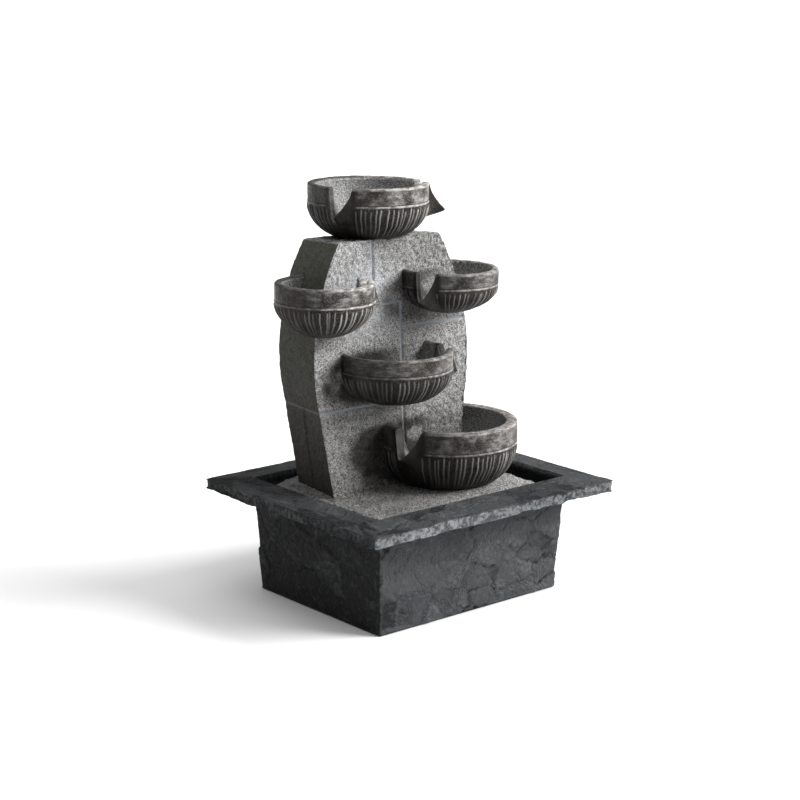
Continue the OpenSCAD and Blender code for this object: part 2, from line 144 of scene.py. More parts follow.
def loops_to_mesh(name, rows, marks, close_ends=True, join_ends=False):
    """A closed skin over rows of points, each row a loop; marks are numbers kept on the points."""
    count, cols = rows.shape[:2]
    ids = np.arange(count * cols).reshape(count, cols)
    if join_ends:
        ids = np.vstack([ids, ids[:1]])
    right = np.roll(ids, -1, axis=1)
    faces = np.stack([ids[:-1], right[:-1], right[1:], ids[1:]], -1).reshape(-1, 4).tolist()
    verts = rows.reshape(-1, 3)
    values = {mark: array.reshape(-1) for mark, array in marks.items()}
    if close_ends:
        for row, turned in ((0, True), (count - 1, False)):
            verts = np.vstack([verts, rows[row].mean(0)])
            values = {m: np.append(v, v[row * cols:(row + 1) * cols].mean()) for m, v in values.items()}
            hub = len(verts) - 1
            start = row * cols
            for col in range(cols):
                pair = [start + col, start + (col + 1) % cols]
                faces.append([hub] + (pair[::-1] if turned else pair))
    mesh = bpy.data.meshes.new(name)
    mesh.from_pydata(verts.tolist(), [], faces)
    for mark, array in values.items():
        mesh.attributes.new(mark, "FLOAT", "POINT").data.foreach_set("value", array.astype(np.float32))
    mesh.shade_smooth()
    mesh.update()
    piece = bpy.data.objects.new(name, mesh)
    bpy.context.scene.collection.objects.link(piece)
    return piece


def loop_normals(rows):
    """Outward normals of a grid of loops, from its own neighbours."""
    along = np.roll(rows, -1, axis=1) - np.roll(rows, 1, axis=1)
    down = np.gradient(rows, axis=0)
    normals = np.cross(along, down)
    return normals / (np.linalg.norm(normals, axis=-1, keepdims=True) + 1e-12)


def rounded_loop(corners, radius, counts, steps):
    """Points round four corners: counts points on each straight side and steps on each corner."""
    points = []
    for index in range(4):
        here, after = corners[index], corners[(index + 1) % 4]
        beyond = corners[(index + 2) % 4]
        ahead = (after - here) / np.linalg.norm(after - here)
        turned = (beyond - after) / np.linalg.norm(beyond - after)
        start, end = here + ahead * radius, after - ahead * radius
        share = np.linspace(0, 1, counts[index], endpoint=False)[:, None]
        points.append(start + (end - start) * share)
        share = np.linspace(0, 1, steps, endpoint=False)[:, None]
        leave = after + turned * radius
        points.append((1 - share) ** 2 * end + 2 * share * (1 - share) * after + share ** 2 * leave)
    return np.vstack(points)


def raised(flat, z):
    """Flat points set at height z."""
    return np.column_stack([flat, np.full(len(flat), z)])


def set_material(piece, material):
    piece.data.materials.clear()
    piece.data.materials.append(material)


# ---------- materials ----------

class Look:
    """Builds one node material; sizes are in metres on the object's own coordinates."""

    def __init__(self, name):
        self.material = bpy.data.materials.new(name)
        self.material.use_nodes = True
        self.tree = self.material.node_tree
        self.shader = self.tree.nodes["Principled BSDF"]
        self.place = self.tree.nodes.new("ShaderNodeTexCoord").outputs["Object"]

    def node(self, kind, inputs=None, **settings):
        node = self.tree.nodes.new("ShaderNode" + kind)
        for setting, value in settings.items():
            setattr(node, setting, value)
        for socket, value in (inputs or {}).items():
            self.feed(node.inputs[socket], value)
        return node

    def feed(self, socket, value):
        """Links another node's output, or sets a constant; a colour is three numbers."""
        if isinstance(value, bpy.types.NodeSocket):
            self.tree.links.new(value, socket)
        elif socket.type == "RGBA":
            socket.default_value = value + (1,)
        else:
            socket.default_value = value

    def stretched(self, scale):
        return self.node("Mapping", {"Vector": self.place, "Scale": scale}).outputs["Vector"]

    def noise(self, size, detail=3, roughness=0.55, place=None, distortion=0.0):
        inputs = {"Vector": place or self.place, "Scale": 1 / size, "Detail": detail,
                  "Roughness": roughness, "Distortion": distortion}
        return self.node("TexNoise", inputs).outputs["Fac"]

    def spots(self, size, place=None):
        inputs = {"Vector": place or self.place, "Scale": 1 / size}
        return self.node("TexVoronoi", inputs).outputs["Distance"]

    def mark(self, name):
        return self.node("Attribute", attribute_name=name).outputs["Fac"]

    def step(self, value, low, high, to_low=0.0, to_high=1.0):
        inputs = {"Value": value, "From Min": low, "From Max": high, "To Min": to_low,
                  "To Max": to_high}
        return self.node("MapRange", inputs, interpolation_type="SMOOTHSTEP").outputs["Result"]

    def maths(self, operation, first, second=0.0):
        node = self.node("Math", operation=operation)
        self.feed(node.inputs[0], first)
        self.feed(node.inputs[1], second)
        return node.outputs["Value"]

    def blend(self, share, first, second):
        node = self.node("Mix", data_type="RGBA", blend_type="MIX")
        self.feed(node.inputs["Factor"], share)
        self.feed(node.inputs["A"], first)
        self.feed(node.inputs["B"], second)
        return node.outputs["Result"]

    def bump(self, height, depth, strength=1.0):
        inputs = {"Height": height, "Distance": depth, "Strength": strength}
        self.feed(self.shader.inputs["Normal"], self.node("Bump", inputs).outputs["Normal"])

    def finish(self, colour, roughness, **constants):
        self.feed(self.shader.inputs["Base Color"], colour)
        self.feed(self.shader.inputs["Roughness"], roughness)
        for socket, value in constants.items():
            self.shader.inputs[socket.replace("_", " ")].default_value = value
        return self.material


def granite_look():
    """Bush-hammered granite cast: light high points, dark pits, smooth joints, stains; the sides take a
    much darker greenish copy as painted shade, the staining colour also lays painted shade and shadow, and
    a paler patch is partly painted light.
    """
    look = Look("granite_resin")
    grain = look.noise(1.0 * MM, 3, 0.65)
    coarse = look.noise(2.4 * MM, 2, 0.5)
    patches = look.noise(30 * MM, 3, 0.55)
    mixed = look.maths("ADD", look.maths("MULTIPLY", grain, 0.78), look.maths("MULTIPLY", coarse, 0.22))
    lifted = look.maths("ADD", mixed, look.maths("MULTIPLY", look.mark("relief"), 0.035))
    light = look.step(lifted, 0.40, 0.61)
    face = look.blend(light, (0.066, 0.0655, 0.064), (0.460, 0.456, 0.450))
    # Paler bluish copy: partly paler stone, partly painted light over the left bowl's shadow.
    pale = look.blend(light, (0.225, 0.233, 0.247), (0.50, 0.51, 0.53))
    face = look.blend(look.mark("pale"), face, pale)
    # Much darker copy for the faces turned away from the front: painted shade.
    sides = look.blend(light, (0.021, 0.022, 0.018), (0.076, 0.078, 0.065))
    colour = look.blend(look.mark("side"), face, sides)
    warm = look.blend(look.step(patches, 0.45, 0.65, 0.0, 0.22), colour, (0.110, 0.098, 0.082))
    jointed = look.blend(look.mark("joint"), warm, (0.235, 0.258, 0.278))
    # Near-black for real staining, also laid on as painted shade and shadow round the bowls, low down and
    # on the sides.
    stain_shade_colour = look.blend(light, (0.005, 0.0045, 0.0045), (0.042, 0.038, 0.035))
    stained = look.blend(look.mark("stain"), jointed, stain_shade_colour)
    height = look.maths("MULTIPLY", mixed, look.maths("SUBTRACT", 1.0, look.mark("joint")))
    look.bump(height, 1.1 * MM, 1.0)
    return look.finish(stained, look.step(grain, 0.3, 0.7, 0.6, 0.9), Specular_IOR_Level=0.16)


def slate_look():
    """Riven slate cast: even charcoal, darker in the hollows and, as painted shade, on faces turned away
    from the key light, brushed lighter on broken edges.
    """
    look = Look("slate_resin")
    grain = look.noise(1.6 * MM, 5, 0.65)
    wear = look.noise(4.5 * MM, 5, 0.65)
    broad = look.noise(70 * MM, 3, 0.5)
    swirls = look.noise(30 * MM, 5, 0.6, distortion=0.5)
    folds = look.maths("ABSOLUTE", look.maths("SUBTRACT", swirls, 0.5))
    base = look.blend(look.step(broad, 0.35, 0.65), (0.028, 0.029, 0.0315), (0.042, 0.0435, 0.046))
    grained = look.blend(look.step(grain, 0.48, 0.72, 0.0, 0.45), base, (0.070, 0.072, 0.075))
    # Dark in the riven hollows and painted shade on faces turned to -X.
    dark_hollows_and_shade = look.step(look.mark("deep"), 0.0, 1.0, 0.0, 0.88)
    hollow = look.blend(dark_hollows_and_shade, grained, (0.0055, 0.0058, 0.0062))
    brush = look.maths("MULTIPLY", look.mark("worn"), look.step(wear, 0.43, 0.57, 0.1, 1.0))
    colour = look.blend(brush, hollow, (0.220, 0.231, 0.237))
    height = look.maths("ADD", look.maths("MULTIPLY", grain, 0.35), look.step(folds, 0.0, 0.05, 0.0, 0.7))
    look.bump(look.maths("ADD", height, look.maths("MULTIPLY", wear, 0.6)), 1.1 * MM, 0.8)
    return look.finish(colour, look.step(grain, 0.3, 0.7, 0.46, 0.72), Specular_IOR_Level=0.11)


def bowl_look():
    """Near-black bronze paint over cast stone, rubbed back to grey on rims, beads and ridges, with light
    flecks; grey and flecks are laid on most towards the key light and the top as a painted highlight, and
    the notches' flanks kept dark as painted shade.
    """
    look = Look("bowl_resin")
    grain = look.noise(1.5 * MM, 4, 0.7, look.stretched((1, 1, 1.8)))
    rub = look.noise(7 * MM, 5, 0.68, look.stretched((1, 1, 2.4)))
    broad = look.noise(26 * MM, 3, 0.5)
    paint = look.blend(look.step(broad, 0.4, 0.62), (0.0045, 0.0040, 0.0037), (0.0170, 0.0145, 0.0128))
    # Light flecks, shown most on the top of the bowl and towards the key light: painted highlight.
    fleck = look.maths("MULTIPLY", look.step(grain, 0.50, 0.66, 0.0, 0.62), look.mark("upper"))
    flecked = look.blend(fleck, paint, (0.155, 0.134, 0.115))
    brush = look.maths("MULTIPLY", look.mark("worn"), look.step(rub, 0.38, 0.64, 0.2, 1.0))
    outside = look.blend(brush, flecked, (0.45, 0.436, 0.418))
    ridged = look.blend(look.mark("ridges"), outside, (0.40, 0.394, 0.384))
    lining = look.blend(look.step(grain, 0.40, 0.62), (0.065, 0.064, 0.063), (0.290, 0.287, 0.284))
    colour = look.blend(look.mark("inside"), ridged, lining)
    look.bump(grain, 0.5 * MM, 0.8)
    return look.finish(colour, look.step(rub, 0.3, 0.7, 0.34, 0.52), Specular_IOR_Level=0.13)


def plastic_look(name, colour, spread=0.35, size=0.5, roughness=0.5):
    """Moulded plastic with a fine spark-eroded texture and slight handling marks."""
    look = Look(name)
    grain = look.noise(size * MM, 3, 0.6)
    haze = look.noise(14 * MM, 3, 0.5)
    paler = tuple(min(1.0, channel * (1 + spread) + 0.006) for channel in colour)
    tint = look.blend(look.step(haze, 0.35, 0.7), colour, paler)
    look.bump(grain, 0.06 * MM, 0.6)
    return look.finish(tint, look.step(haze, 0.3, 0.7, roughness - 0.08, roughness + 0.1))


def rubber_look(name, colour):
    """Matte rubber with a dusty bloom."""
    look = Look(name)
    grain = look.noise(0.8 * MM, 3, 0.6)
    bloom = look.noise(9 * MM, 4, 0.6)
    dusty = tuple(channel * 1.7 + 0.012 for channel in colour)
    tint = look.blend(look.step(bloom, 0.4, 0.7), colour, dusty)
    look.bump(grain, 0.08 * MM, 0.6)
    return look.finish(tint, look.step(bloom, 0.3, 0.7, 0.7, 0.88))


def vinyl_look():
    """Clear soft vinyl tube with faint drawing lines."""
    look = Look("clear_vinyl")
    lines = look.noise(0.7 * MM, 2, 0.5, look.stretched((1, 1, 0.03)))
    tint = look.blend(look.step(lines, 0.3, 0.7), (0.62, 0.68, 0.68), (0.80, 0.84, 0.84))
    look.bump(lines, 0.04 * MM, 0.5)
    return look.finish(tint, look.step(lines, 0.3, 0.7, 0.12, 0.24), Transmission_Weight=0.75, IOR=1.45)


def laminated_steel_look():
    """Stacked stator laminations: fine dark lines across the stack with a little rust."""
    look = Look("core_steel")
    sheets = look.node("TexWave", {"Vector": look.place, "Scale": 320.0, "Distortion": 0.2},
                       wave_type="BANDS", bands_direction="Y").outputs["Fac"]
    rust = look.noise(5 * MM, 4, 0.6)
    metal = look.blend(look.step(sheets, 0.2, 0.6), (0.06, 0.062, 0.065), (0.34, 0.35, 0.36))
    tint = look.blend(look.step(rust, 0.58, 0.72, 0.0, 0.6), metal, (0.16, 0.075, 0.035))
    look.bump(sheets, 0.1 * MM, 0.7)
    return look.finish(tint, look.step(rust, 0.4, 0.7, 0.32, 0.6), Metallic=0.9)


def winding_look():
    """Enamelled copper turns."""
    look = Look("coil_copper")
    turns = look.node("TexWave", {"Vector": look.place, "Scale": 420.0, "Distortion": 0.6},
                      wave_type="BANDS", bands_direction="X").outputs["Fac"]
    tint = look.blend(look.step(turns, 0.15, 0.7), (0.20, 0.055, 0.018), (0.62, 0.25, 0.09))
    look.bump(turns, 0.15 * MM, 0.9)
    return look.finish(tint, look.step(turns, 0.2, 0.8, 0.42, 0.26), Metallic=0.85)


def ceramic_look(name, colour, roughness):
    """Ground ceramic with faint grinding rings and pores."""
    look = Look(name)
    pores = look.spots(1.3 * MM)
    rings = look.noise(0.5 * MM, 2, 0.5, look.stretched((1, 0.05, 1)))
    darker = tuple(channel * 0.72 for channel in colour)
    tint = look.blend(look.step(pores, 0.0, 0.35), darker, colour)
    look.bump(rings, 0.02 * MM, 0.4)
    return look.finish(tint, look.step(rings, 0.3, 0.7, roughness, roughness + 0.1))


def foam_look():
    """Open-cell filter foam."""
    look = Look("sponge_foam")
    pores = look.spots(1.1 * MM)
    patches = look.noise(10 * MM, 3, 0.6)
    walls = look.blend(look.step(patches, 0.35, 0.65), (0.035, 0.042, 0.052), (0.065, 0.074, 0.088))
    tint = look.blend(look.step(pores, 0.10, 0.45), walls, (0.006, 0.007, 0.009))
    look.bump(look.step(pores, 0.05, 0.5, 1.0, 0.0), 0.6 * MM, 1.0)
    return look.finish(tint, 0.95)


GRANITE = granite_look()
SLATE = slate_look()
BOWL = bowl_look()
KEPT_LOOKS = {
    "black_rubber": rubber_look("black_rubber", (0.020, 0.020, 0.020)),
    "bush_rubber": rubber_look("bush_rubber", (0.100, 0.090, 0.080)),
    "cup_rubber": rubber_look("cup_rubber", (0.060, 0.065, 0.070)),
    "clear_vinyl": vinyl_look(),
    "pump_plastic": plastic_look("pump_plastic", (0.018, 0.019, 0.021)),
    "black_plastic": plastic_look("black_plastic", (0.022, 0.022, 0.024)),
    "grey_plastic": plastic_look("grey_plastic", (0.050, 0.052, 0.056)),
    "impeller_plastic": plastic_look("impeller_plastic", (0.66, 0.66, 0.62), 0.06, 0.8, 0.38),
    "core_steel": laminated_steel_look(),
    "coil_copper": winding_look(),
    "white_ceramic": ceramic_look("white_ceramic", (0.80, 0.78, 0.74), 0.2),
    "ferrite": ceramic_look("ferrite", (0.060, 0.060, 0.065), 0.45),
    "sponge_foam": foam_look(),
}


def stand_for(piece, node, body, material):
    set_material(piece, material)
    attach(piece, body)
    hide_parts(node)


# ---------- basin ----------

BASIN_LO, BASIN_HI = (np.array(corner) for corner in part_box("basin"))
FEET_HI = np.array(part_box("rubber_feet")[1])
DECK_LO, DECK_HI = (np.array(corner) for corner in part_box("deck_plate"))
FOOT_IN = 11 * MM            # from a foot's outer edge to the side of the basin's body
RIM_T = 9.6 * MM             # rim thickness at the outer edge
RIM_RISE = 3.3 * MM          # from the rim's outer edge up to its crest
RIM_DROOP = 2 * MM           # of the broken lower edge of the rim
LEAN = np.array([5, 4.5]) * MM
WALL = 4.4 * MM
FLOOR_T = 5 * MM
CREST_OUT = np.array([4, 1]) * MM
SIDE_POINTS = [150, 122, 150, 122]
CORNER_POINTS = 6
GIRTH_ROW = 60               # a loop round the walls, along which the slate is laid out
RIVEN_DEPTH = {"floor": 0.0, "wall": 3.2, "under": 1.2, "edge": 2.4, "top": 1.4, "bevel": 0.3,
               "inner": 0.0}                                    # in each zone, in mm
EDGE_WEAR = {"edge": 0.46, "top": 0.03, "bevel": 0.15}


def rectangle_loop(half, z, radius):
    corners = [np.array([sx * half[0], sy * half[1]]) for sx, sy in ((-1, -1), (1, -1), (1, 1), (-1, 1))]
    return raised(rounded_loop(corners, radius, SIDE_POINTS, CORNER_POINTS), z)


def riven(u, v, seed):
    """Riven slate height from 0 to 1: broad leaning flakes with smaller ones split off them."""
    flat = np.stack([u, v], -1)
    ragged = np.stack([fractal(flat, 11 * MM, 4, seed + step, 0.6) for step in (1, 2)], -1)
    bent = flat + 5 * MM * ragged
    slanted = np.stack([bent[..., 0] / 1.5 + 0.5 * bent[..., 1], bent[..., 1] - 0.25 * bent[..., 0]], -1)
    broad, split = flakes(slanted, 27 * MM, seed + 3)
    small, chipped = flakes(slanted[..., ::-1] * 1.1, 11 * MM, seed + 13)
    some = smooth(-0.1, 0.3, fractal(flat, 24 * MM, 2, seed + 31))
    grain = fractal(slanted / np.array([1.6, 1]), 5 * MM, 3, seed + 23, 0.6)
    creased = 0.22 * split * some + 0.10 * chipped * (1 - some)
    return np.clip(0.52 * broad + 0.26 * small * some + 0.20 * (grain + 1) / 2 + 0.12 - creased, 0, 1)


def basin_rows():
    """Half sizes, heights and zone of each loop, from under the floor up, over the rim and back in."""
    foot = FEET_HI[:2] + FOOT_IN
    base = BASIN_LO[2]
    under = BASIN_HI[2] - RIM_RISE - RIM_T
    lean_per_m = LEAN / (under - base)
    rim = BASIN_HI[:2]
    edge_top = BASIN_HI[2] - RIM_RISE

    def body(z, inset=0.0):
        return foot + lean_per_m * (z - base) - inset

    crest = body(edge_top, WALL) + CREST_OUT
    rows = []
    for share in (0.03, 0.35, 0.7, 0.94, 0.985):
        rows.append((foot * share, base, "floor"))
    rows += [(body(z), z, "wall") for z in np.linspace(base + 0.6 * MM, under - 0.4 * MM, 76)]
    for share in np.linspace(0.02, 0.98, 12):
        rows.append((body(under) * (1 - share) + rim * share, under, "under"))
    rows += [(rim, z, "edge") for z in np.linspace(under + 0.5 * MM, edge_top - 0.5 * MM, 9)]
    for share in np.linspace(0.015, 0.985, 24):
        rows.append((rim * (1 - share) + crest * share, edge_top + RIM_RISE * share, "top"))
    opening = body(edge_top, WALL)
    for share in np.linspace(0.15, 1, 4):
        rows.append((crest * (1 - share) + opening * share, BASIN_HI[2] - RIM_RISE * share, "bevel"))
    for z in np.linspace(edge_top - 3 * MM, base + FLOOR_T + 1 * MM, 14):
        rows.append((body(z, WALL), z, "inner"))
    for share in (0.98, 0.7, 0.35, 0.03):
        rows.append((body(base + FLOOR_T, WALL) * share, base + FLOOR_T, "floor"))
    return rows


def droop_share(zones):
    """How far each loop sags with the rim's broken lower edge: all at the corner, none away from it."""
    share = np.zeros((len(zones), 1))
    for zone, start, end in (("under", 0, 1), ("edge", 1, 0)):
        share[zones == zone, 0] = np.linspace(start, end, np.count_nonzero(zones == zone))
    return share


def basin_marks(zones, depth, normals, height, fine, chips):
    """Where the slate is rubbed light, mostly along the rim's front, and where it lies dark: in the
    hollows, on the rim's top and bevel, and as painted shade on faces turned to -X.
    """
    worn = 0.10 * smooth(0.1, 0.7, fine) * (depth > 0) + 0.12 * smooth(0.55, 0.85, height)
    handled = 0.12 + 0.88 * smooth(-0.2, 0.6, -normals[..., 1])
    worn = worn + np.array([EDGE_WEAR.get(zone, 0.0) for zone in zones])[:, None] * handled
    edge_line = np.zeros(len(zones))
    edge_line[np.nonzero(zones == "edge")[0][-2:]] = 0.45
    edge_line[np.nonzero(zones == "top")[0][:2]] = 0.40
    edge_line[np.nonzero(zones == "top")[0][-2:]] = 0.15
    worn = np.clip(worn + edge_line[:, None] * handled * smooth(-0.3, 0.4, chips), 0, 1)
    deep = np.where(depth > 0, 1 - smooth(0.1, 0.5, height), 0.5)
    # Painted shade on faces turned to -X, away from the key light.
    deep = deep + 0.9 * smooth(0.4, 0.9, -normals[..., 0])
    deep = np.clip(deep + np.isin(zones, ("top", "bevel"))[:, None] * 0.4, 0, 1)
    return {"worn": worn, "deep": deep}


def build_basin():
    plan = basin_rows()
    zones = np.array([zone for _, _, zone in plan])
    radius = {"wall": 5 * MM, "edge": 4 * MM, "top": 3.5 * MM, "under": 4 * MM}
    loops = []
    for half, z, zone in plan:
        loops.append(rectangle_loop(half, z, min(radius.get(zone, 3 * MM), min(half) * 0.5)))
    rows = np.stack(loops)
    normals = loop_normals(rows)
    u = np.concatenate([[0], np.cumsum(np.linalg.norm(np.diff(rows[GIRTH_ROW], axis=0), axis=1))])
    u = np.broadcast_to(u, rows.shape[:2])
    steps = np.linalg.norm(np.diff(rows, axis=0), axis=2).mean(1)
    v = np.broadcast_to(np.concatenate([[0], np.cumsum(steps)])[:, None], rows.shape[:2])
    height = riven(u, v, 11)
    depth = np.array([RIVEN_DEPTH[zone] for zone in zones])[:, None] * MM
    fine = fractal(rows, 3.2 * MM, 2, 31)
    chips = fractal(rows, 5.5 * MM, 4, 41, 0.6)
    push = -depth * (1 - height) + depth * 0.08 * fine
    rim_edge = (zones == "edge")[:, None]
    push = push + np.where(rim_edge, 1.5 * MM * (chips - 0.6), 0)
    moved = rows + normals * push[..., None]
    along = np.stack([u, 0 * u], -1)
    ragged = smooth(-0.5, 0.6, fractal(along, 15 * MM, 4, 43, 0.6))
    moved[..., 2] -= droop_share(zones) * ragged * RIM_DROOP
    marks = basin_marks(zones, depth, normals, height, fine, chips)
    piece = loops_to_mesh("basin_casting", moved, marks)
    stand_for(piece, "basin", ROOT, SLATE)


# ---------- tower ----------

TOWER_LO, TOWER_HI = (np.array(corner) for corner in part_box("tower_shell"))
TOWER_X = (TOWER_LO[0] + TOWER_HI[0]) / 2
SIDE_R = 201 * MM            # arc of each side above the flank
HALF_W = 93 * MM             # at the widest
FOOT_W = 75 * MM             # at the deck
MID_Z = 230 * MM
FLANK_Z = 187 * MM
PLAN_TAPER = math.radians(8)
TOWER_D = 64 * MM
TOWER_LEAN = 14 * MM
TOP_FALL = 4 * MM
TOWER_WALL = 6 * MM
BUMP = 1.25 * MM             # height of the bush-hammered face
GROOVE_HALF = 1.8 * MM
GROOVE_DEEP = 1.3 * MM
# The block joints in mm: upright ones as x and from what z to what z, level ones the other way round
LOW_JOINT = 188
UPRIGHTS = [(-46, 280.5, 345), (-13.5, 108, 280.5)]
LEVELS = [(280.5, -130, -13.5), (256.5, -13.5, 90), (LOW_JOINT, -130, -13.5)]
CRACK_Y = 24                 # of the upright joint in the left side, below the low joint
TOWER_POINTS = [144, 46, 90, 46]    # along the front, right, back and left
TOWER_CORNER = 5


def tower_half(z, inset=0.0):
    """Half width of the tower at height z, before the sides close in towards the back."""
    reach = SIDE_R - inset
    arc = HALF_W - SIDE_R + np.sqrt(reach ** 2 - (z - MID_Z) ** 2)
    flank_top = HALF_W - SIDE_R + math.sqrt(reach ** 2 - (FLANK_Z - MID_Z) ** 2)
    foot = FOOT_W - inset
    share = (z - TOWER_LO[2]) / (FLANK_Z - TOWER_LO[2])
    return np.where(z > FLANK_Z, arc, foot + (flank_top - foot) * share)


def tower_loop(z, inset, counts, steps, radius):
    """The tower's outline at height z, from its front left corner round by the front."""
    half = float(tower_half(z, inset)) / math.cos(PLAN_TAPER)
    lean = TOWER_LEAN * (z - TOWER_LO[2]) / (TOWER_HI[2] - TOWER_LO[2])
    front = TOWER_LO[1] + inset + lean
    back = TOWER_LO[1] + TOWER_D - inset + lean
    narrow = math.tan(PLAN_TAPER)
    corners = [np.array([TOWER_X - half + narrow * front, front]),
               np.array([TOWER_X + half - narrow * front, front]),
               np.array([TOWER_X + half - narrow * back, back]),
               np.array([TOWER_X - half + narrow * back, back])]
    return rounded_loop(corners, radius, counts, steps)


def spread_front(loop, count, fixed):
    """Respaces the front's points so that those near the block joints keep the same x at every height."""
    left, right = loop[0, 0], loop[count, 0]
    outer = (count - len(fixed)) // 2
    xs = np.concatenate([np.linspace(left, fixed[0], outer, endpoint=False), fixed,
                         np.linspace(fixed[-1], right, count - outer - len(fixed) + 1)[1:]])
    loop[:count, 0] = xs[:count]
    return loop


def stain_near_bowls(points):
    """Painted shadow on the tower's face below the rims of the hung bowls, round their left ends, the side
    away from the key light.
    """
    stain = np.zeros(points.shape[:-1])
    for name, left, down, strength in (("bowl_left", 0, 10, 0.25), ("bowl_right", 12, 4, 0.8),
                                       ("bowl_middle", 18, 0, 1.0), ("bowl_bottom", 18, -8, 1.0)):
        low, high = (np.array(corner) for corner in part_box(name))
        middle = (low + high) / 2
        centre = middle - np.array([left, 0, down]) * MM
        half = (high - low) / 2
        off = (points[..., [0, 2]] - centre[[0, 2]]) / half[[0, 2]]
        spread = 1 - smooth(0.85, 1.4, np.linalg.norm(off, axis=-1))
        under_rim = 1 - smooth(high[2] - 6 * MM, high[2] + 8 * MM, points[..., 2])
        leftward = 1 - 0.75 * smooth(middle[0] - 20 * MM, middle[0] + 25 * MM, points[..., 0])
        stain = np.maximum(stain, strength * spread * under_rim * leftward)
    return stain


def tower_outer_rows():
    """Loops up the tower's outside and over its top, and the middle of the top."""
    fixed = np.arange(-62, 16.01, 1.15) * MM
    low, high = TOWER_LO[2], TOWER_HI[2]

    def outline(z):
        return spread_front(tower_loop(z, 0, TOWER_POINTS, TOWER_CORNER, 2.5 * MM), TOWER_POINTS[0], fixed)

    loops = [raised(outline(z), z) for z in np.linspace(low - 1.5 * MM, high - 1.2 * MM, 200)]
    crown = outline(high)
    hub = crown.mean(0)
    for share in np.concatenate([[0.993, 0.982], np.linspace(0.96, 0.1, 34)]):
        loops.append(raised(hub + (crown - hub) * share, high))
    outer = np.stack(loops)
    fall = TOP_FALL * smooth(high - 60 * MM, high, outer[..., 2])
    outer[..., 2] -= fall * (outer[..., 1] - outer[-1, :, 1].min()) / TOWER_D
    return outer, hub


def tower_inner_rows(hub):
    """Loops from the middle of the hollow's roof down its walls."""
    low, roof = TOWER_LO[2], TOWER_HI[2] - TOP_FALL - TOWER_WALL
    rows = []
    for share in (0.0, 0.25, 0.5, 0.75, 0.97):
        z = low - 1.5 * MM + share * (roof - low)
        rows.append(raised(tower_loop(z, TOWER_WALL, TOWER_POINTS, TOWER_CORNER, 2 * MM), z))
    rows.append(raised(hub + (rows[-1][:, :2] - hub) * 0.1, roof))
    return np.stack(rows)[::-1]


def hammered(points, size, seed, pit_size, pit_seed):
    """Relief of a bush-hammered face: small lumps and round pits."""
    return 0.8 * fractal(points, size, 2, seed) + 0.9 * (0.5 - cells(points, pit_size, pit_seed))


def granite_marks(relief, **given):
    """The marks that the granite material reads; those not given are zero."""
    blank = np.zeros(relief.shape)
    others = {mark: blank + given.get(mark, 0) for mark in ("side", "stain", "joint", "pale")}
    return {"relief": relief, **others}


def tower_joints(points, facing, left):
    """Depth of the block joints at each point, and of the upright joint in the left side."""
    x, y, z = np.moveaxis(points, -1, 0) / MM

    def joint(away, along, start, end):
        depth = facing * groove(away * MM, GROOVE_HALF)
        return depth * smooth(start - 1, start, along) * smooth(end + 1, end, along)

    cut = left * groove((z - LOW_JOINT) * MM, GROOVE_HALF)
    for at, start, end in UPRIGHTS:
        cut = np.maximum(cut, joint(x - at, z, start, end))
    for at, start, end in LEVELS:
        cut = np.maximum(cut, joint(z - at, x, start, end))
    crack = left * groove((y - CRACK_Y) * MM, GROOVE_HALF * 0.8) * smooth(LOW_JOINT + 1, LOW_JOINT, z)
    return cut, crack


def tower_stain(points, facing, side, swell):
    """Darkening: painted shadow round the bowls, darker towards the bottom, darker high on the face's left,
    and painted shade on the sides, deepest towards the bottom; heights in mm.
    """
    x, z = points[..., 0] / MM, points[..., 2] / MM
    low_down = 1 - smooth(120, 330, z)
    stain = (0.92 * stain_near_bowls(points) * smooth(-0.9, 0.1, swell) + 0.34 * low_down) * facing
    stain = stain + facing * 0.28 * smooth(298, 326, z) * smooth(-75, -35, x)
    stain = stain + facing * 0.2 * (1 - smooth(112, 165, z))
    # Painted shade on the sides, deepest towards the bottom.
    return stain + side * (0.10 + 0.90 * (1 - smooth(130, 275, z)))


def build_tower():
    outer, hub = tower_outer_rows()
    normals = loop_normals(outer)
    facing = smooth(0.35, 0.8, -normals[..., 1])
    upward = smooth(0.6, 0.9, normals[..., 2])
    left = smooth(0.5, 0.85, np.abs(normals[..., 0])) * (normals[..., 0] < 0)
    relief = hammered(outer, 3.2 * MM, 51, 4.4 * MM, 61)
    swell = fractal(outer, 22 * MM, 3, 71)
    cut, crack = tower_joints(outer, facing, left)
    strength = BUMP * (0.45 + 0.55 * np.maximum(facing, upward))
    push = strength * relief * (1 - cut) + 0.5 * MM * swell - GROOVE_DEEP * np.maximum(cut, crack)
    push *= smooth(0.12, 0.3, np.linalg.norm(outer[..., :2] - hub, axis=-1) / (30 * MM))
    moved = outer + normals * (push - 0.4 * MM)[..., None]
    # Faces turned away from the front and top take the much darker copy of the granite: painted shade.
    side = np.clip(1 - facing - upward, 0, 1)
    stain = tower_stain(outer, facing, side, swell)
    x, z = outer[..., 0] / MM, outer[..., 2] / MM
    # A paler patch on the top-left block, partly paler stone, partly painted light set where the left
    # bowl's shadow falls.
    pale = facing * np.exp(-((x + 56) / 34) ** 2 - ((z - 290) / 30) ** 2)
    face = granite_marks(relief, side=side, stain=np.clip(stain * (1 - 0.6 * cut) + crack, 0, 1),
                         joint=cut * (1 - 0.7 * side), pale=pale)
    inner = tower_inner_rows(hub)
    lining = granite_marks(np.zeros(inner.shape[:2]), side=1, stain=0.3)
    marks = {mark: np.concatenate([lining[mark], face[mark]]) for mark in face}
    piece = loops_to_mesh("tower_casting", np.concatenate([inner, moved]), marks)
    stand_for(piece, "tower_shell", LIFTED, GRANITE)


# ---------- deck ----------

